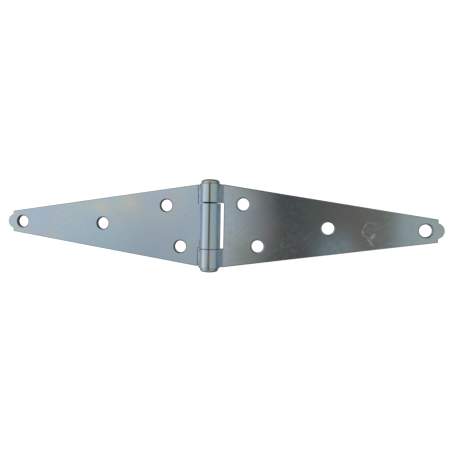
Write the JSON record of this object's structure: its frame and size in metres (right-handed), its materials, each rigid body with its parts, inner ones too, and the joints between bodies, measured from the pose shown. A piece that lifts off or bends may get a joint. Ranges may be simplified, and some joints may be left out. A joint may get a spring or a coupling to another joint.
{
  "type": "strap hinge",
  "caption": "Heavy double strap hinge in zinc-plated steel: tapered straps with screw holes and round tabs, rolled knuckles and a fixed pin.",
  "frame": {"origin": "in the back plane of the open hinge, under the middle of the pin's axis", "axes": "+X along the right strap, +Y along the pin towards the upper knuckle, +Z out of the front, on the barrel's side"},
  "size_m": [0.26, 0.054, 0.0126],
  "materials": {
    "zinc_plated_sheet": "bright zinc plating, clear blue passivation",
    "zinc_plated_pin": "bright zinc plating over riveted heads"
  },
  "bodies": {
    "right_strap_and_pin": {"right_strap": "zinc_plated_sheet", "hinge_pin": "zinc_plated_pin"},
    "left_strap_body": {"left_strap": "zinc_plated_sheet"}
  },
  "joints": [
    {"name": "pin_joint", "type": "hinge", "parent": "right_strap_and_pin", "child": "left_strap_body", "pos_m": [0, 0, 0.00628], "axis": [0, 1, 0], "range_deg": [-95, 180]}
  ]
}
